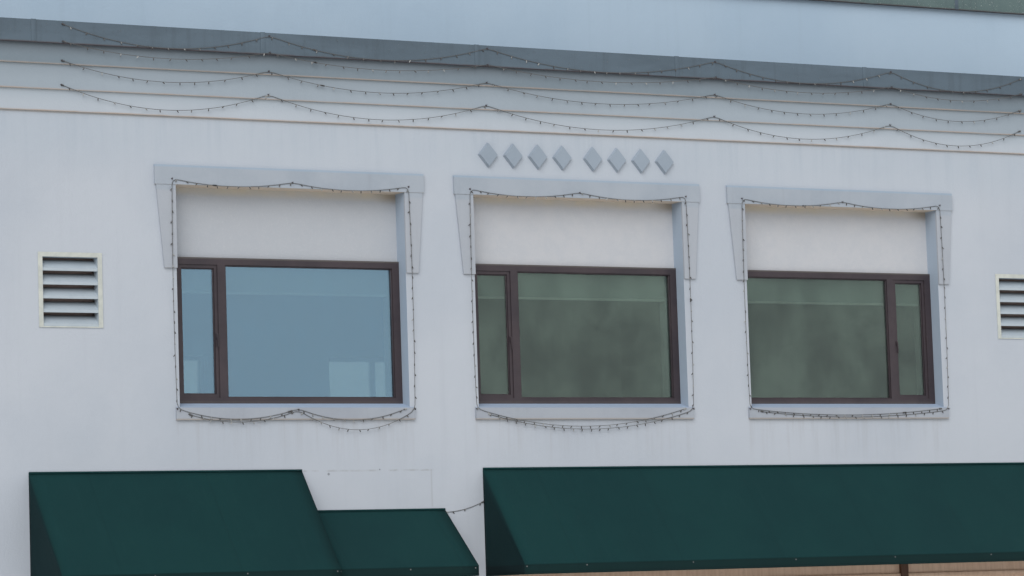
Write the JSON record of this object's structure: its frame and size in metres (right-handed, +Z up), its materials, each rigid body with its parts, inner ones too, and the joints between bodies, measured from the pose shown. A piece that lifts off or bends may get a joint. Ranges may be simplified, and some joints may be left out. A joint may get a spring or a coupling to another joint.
{
  "type": "town hall building",
  "caption": "Two-storey stuccoed town hall front with three recessed windows, stepped cornice, dark copings, canvas awnings and a taller block set back behind.",
  "frame": {"origin": "on the ground at the middle of the plan, on the underside of the ground slab", "axes": "+X along the front to the right as seen from the street, +Y from the front into the building, +Z up"},
  "size_m": [15.24, 12.906, 9.109],
  "materials": {
    "stucco": "painted, fine sand texture",
    "cornice_stucco": "painted, weathered",
    "coping_paint": "satin, dusty",
    "surround_paint": "painted, smooth",
    "ornament_paint": "painted, matt",
    "infill_render": "rough render",
    "bronze_metal": "dark bronze anodised",
    "clear_glass": "clear double glazing",
    "blind_cloth": "plain weave",
    "louvre_paint": "gloss, chalky",
    "awning_cloth": "acrylic canvas",
    "awning_tube": "galvanised grey",
    "tan_timber": "painted boards",
    "brown_timber": "stained",
    "floor_concrete": "trowelled",
    "roof_membrane": "lapped sheets with grit",
    "lamp_wire": "twisted lead"
  },
  "bodies": {
    "root": {"awning_fabric_entrance": "awning_cloth", "awning_fabric_left": "awning_cloth", "awning_fabric_right": "awning_cloth", "awning_frame_entrance": "awning_tube", "awning_frame_left": "awning_tube", "awning_frame_right": "awning_tube", "cornice_band_lower": "cornice_stucco", "cornice_band_middle": "cornice_stucco", "cornice_band_upper": "cornice_stucco", "divider_post": "brown_timber", "entrance_doors": "bronze_metal", "entrance_frame": "tan_timber", "entrance_glass": "clear_glass", "frieze_ornament": "ornament_paint", "front_coping": "coping_paint", "front_roof": "roof_membrane", "front_wall_lower": "stucco", "front_wall_upper": "stucco", "ground_slab": "floor_concrete", "infill_panel_centre": "infill_render", "infill_panel_left": "infill_render", "infill_panel_right": "infill_render", "lamp_string_eaves": "lamp_wire", "lamp_string_link": "lamp_wire", "lamp_string_low": "lamp_wire", "lamp_string_middle": "lamp_wire", "lamp_string_top": "lamp_wire", "left_wall": "stucco", "louvre_left": "louvre_paint", "louvre_right": "louvre_paint", "main_roof": "roof_membrane", "rear_door": "brown_timber", "rear_wall": "stucco", "rear_window_frames": "bronze_metal", "rear_window_glass": "clear_glass", "right_wall": "stucco", "set_back_wall": "stucco", "shop_frame_left": "tan_timber", "shop_frame_right": "tan_timber", "shop_glass_left": "clear_glass", "shop_glass_right": "clear_glass", "upper_coping": "coping_paint", "upper_floor": "floor_concrete", "window_blinds": "blind_cloth", "window_frame_centre": "bronze_metal", "window_frame_left": "bronze_metal", "window_frame_right": "bronze_metal", "window_garland_centre": "lamp_wire", "window_garland_left": "lamp_wire", "window_garland_right": "lamp_wire", "window_glass_centre": "clear_glass", "window_glass_left": "clear_glass", "window_glass_right": "clear_glass", "window_sill_centre": "surround_paint", "window_sill_left": "surround_paint", "window_sill_right": "surround_paint", "window_surround_centre": "surround_paint", "window_surround_left": "surround_paint", "window_surround_right": "surround_paint"}
  },
  "joints": []
}
